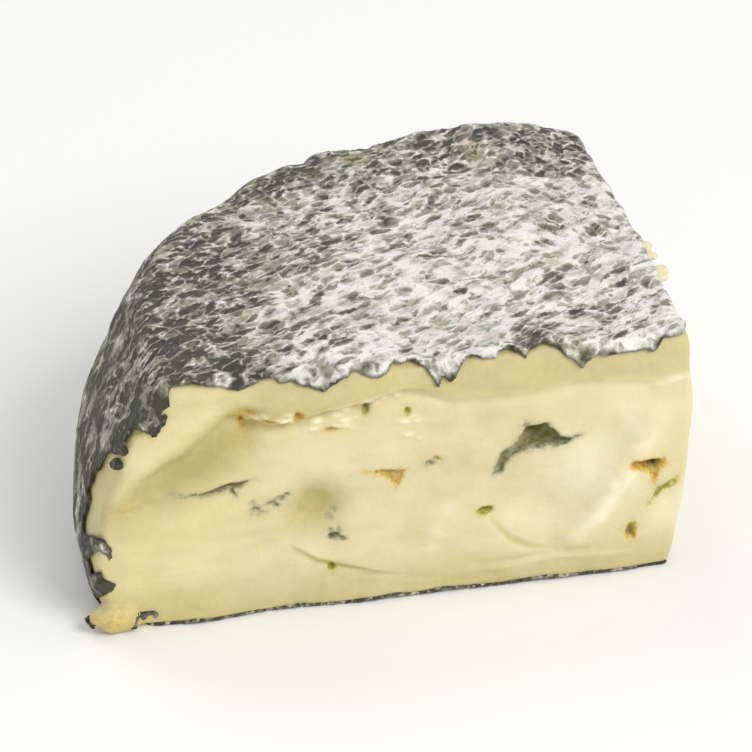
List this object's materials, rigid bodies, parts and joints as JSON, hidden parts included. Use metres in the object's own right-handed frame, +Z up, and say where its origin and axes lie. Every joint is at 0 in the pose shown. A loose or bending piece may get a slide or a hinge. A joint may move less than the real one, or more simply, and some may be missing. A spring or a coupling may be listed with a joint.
{
  "type": "blue cheese piece",
  "caption": "Cut piece of a soft blue cheese with a wrinkled grey-white ash rind, an ivory paste on its two cut faces, and pockets of blue-green mould.",
  "frame": {"origin": "middle of the piece's box, on the surface that it stands on", "axes": "+X along the front cut from the rind to the tip, +Y from the front cut back to the rim, +Z up"},
  "size_m": [0.0875, 0.076, 0.0409],
  "materials": {
    "cheese": "soft ivory paste, slightly moist",
    "rind": "dry, matt ash rind with a white bloom"
  },
  "bodies": {
    "root": {"cheese_piece": "cheese"}
  },
  "joints": []
}
